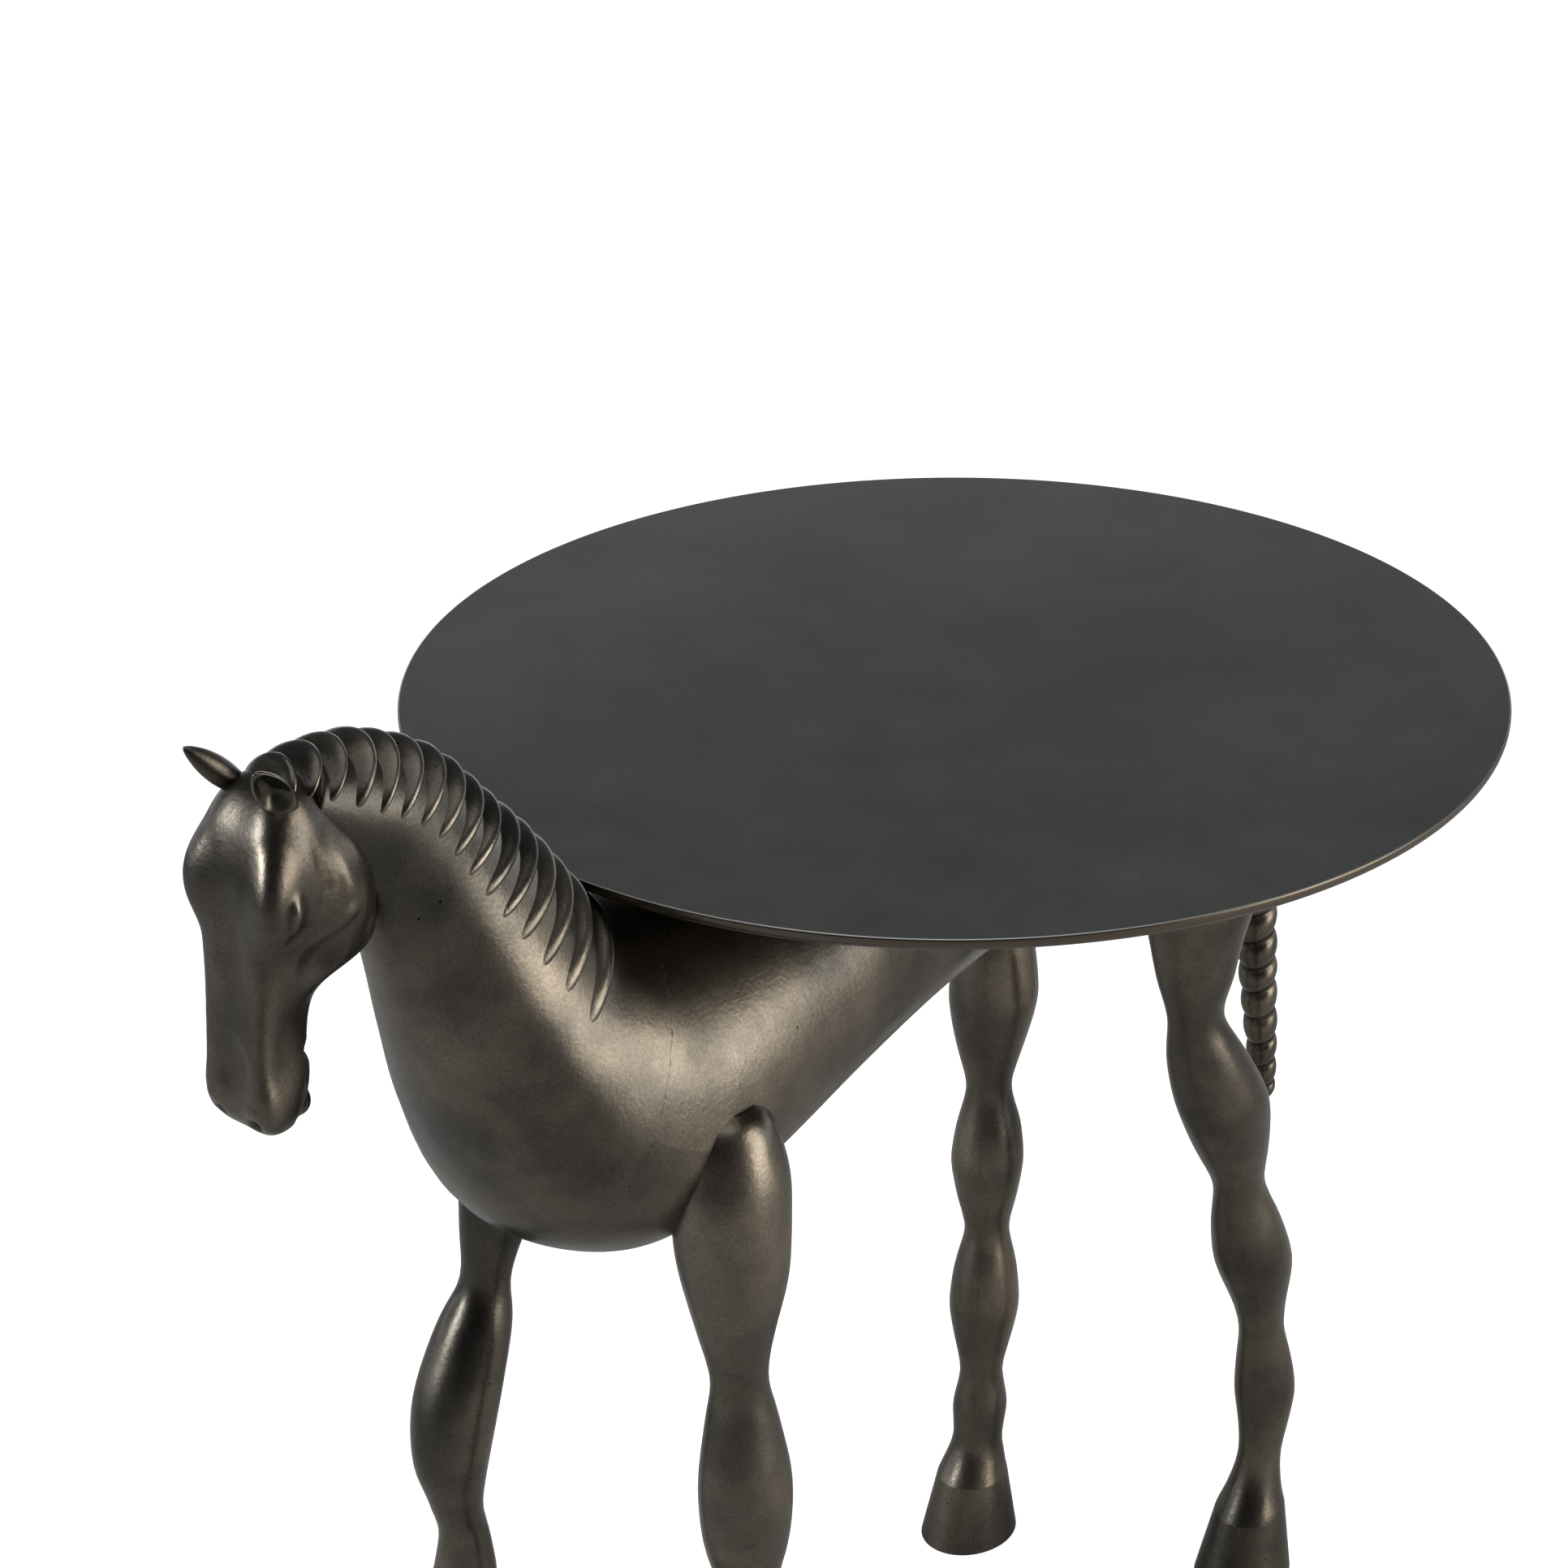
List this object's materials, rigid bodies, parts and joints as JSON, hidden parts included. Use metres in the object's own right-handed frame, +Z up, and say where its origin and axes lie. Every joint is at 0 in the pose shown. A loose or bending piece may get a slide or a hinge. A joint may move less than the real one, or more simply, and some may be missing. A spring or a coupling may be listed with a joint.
{
  "type": "figural side table",
  "caption": "Side table: a walking bronze horse with a rope-like tail and overlapping mane locks carries a thin round metal top on its back.",
  "frame": {"origin": "on the floor, below the middle of the whole object's box", "axes": "+Z up, -Y the way the horse faces, +X the horse's left side"},
  "size_m": [0.5079, 0.6997, 0.6755],
  "materials": {
    "horse_bronze": "dark patinated cast bronze, satin, brown-grey with worn warm highlights",
    "top_bronze": "dark patinated bronze plate, satin, faint cloudy greenish grey",
    "steel": "plain steel fasteners and pins",
    "felt": "dark felt pads"
  },
  "bodies": {
    "root": {"backing_ring": "top_bronze", "foot_pads": "felt", "front_left_leg": "horse_bronze", "front_right_leg": "horse_bronze", "head": "horse_bronze", "left_ear": "horse_bronze", "leg_pins": "steel", "mane_lock_01": "horse_bronze", "mane_lock_02": "horse_bronze", "mane_lock_03": "horse_bronze", "mane_lock_04": "horse_bronze", "mane_lock_05": "horse_bronze", "mane_lock_06": "horse_bronze", "mane_lock_07": "horse_bronze", "mane_lock_08": "horse_bronze", "mane_lock_09": "horse_bronze", "mane_lock_10": "horse_bronze", "mane_lock_11": "horse_bronze", "mane_lock_12": "horse_bronze", "mane_lock_13": "horse_bronze", "mane_lock_14": "horse_bronze", "mane_lock_15": "horse_bronze", "mane_lock_16": "horse_bronze", "mount_plate": "top_bronze", "neck": "horse_bronze", "rear_left_leg": "horse_bronze", "rear_right_leg": "horse_bronze", "right_ear": "horse_bronze", "tabletop": "top_bronze", "tail": "horse_bronze", "top_screws": "steel", "top_washers": "steel", "torso": "horse_bronze"}
  },
  "joints": []
}
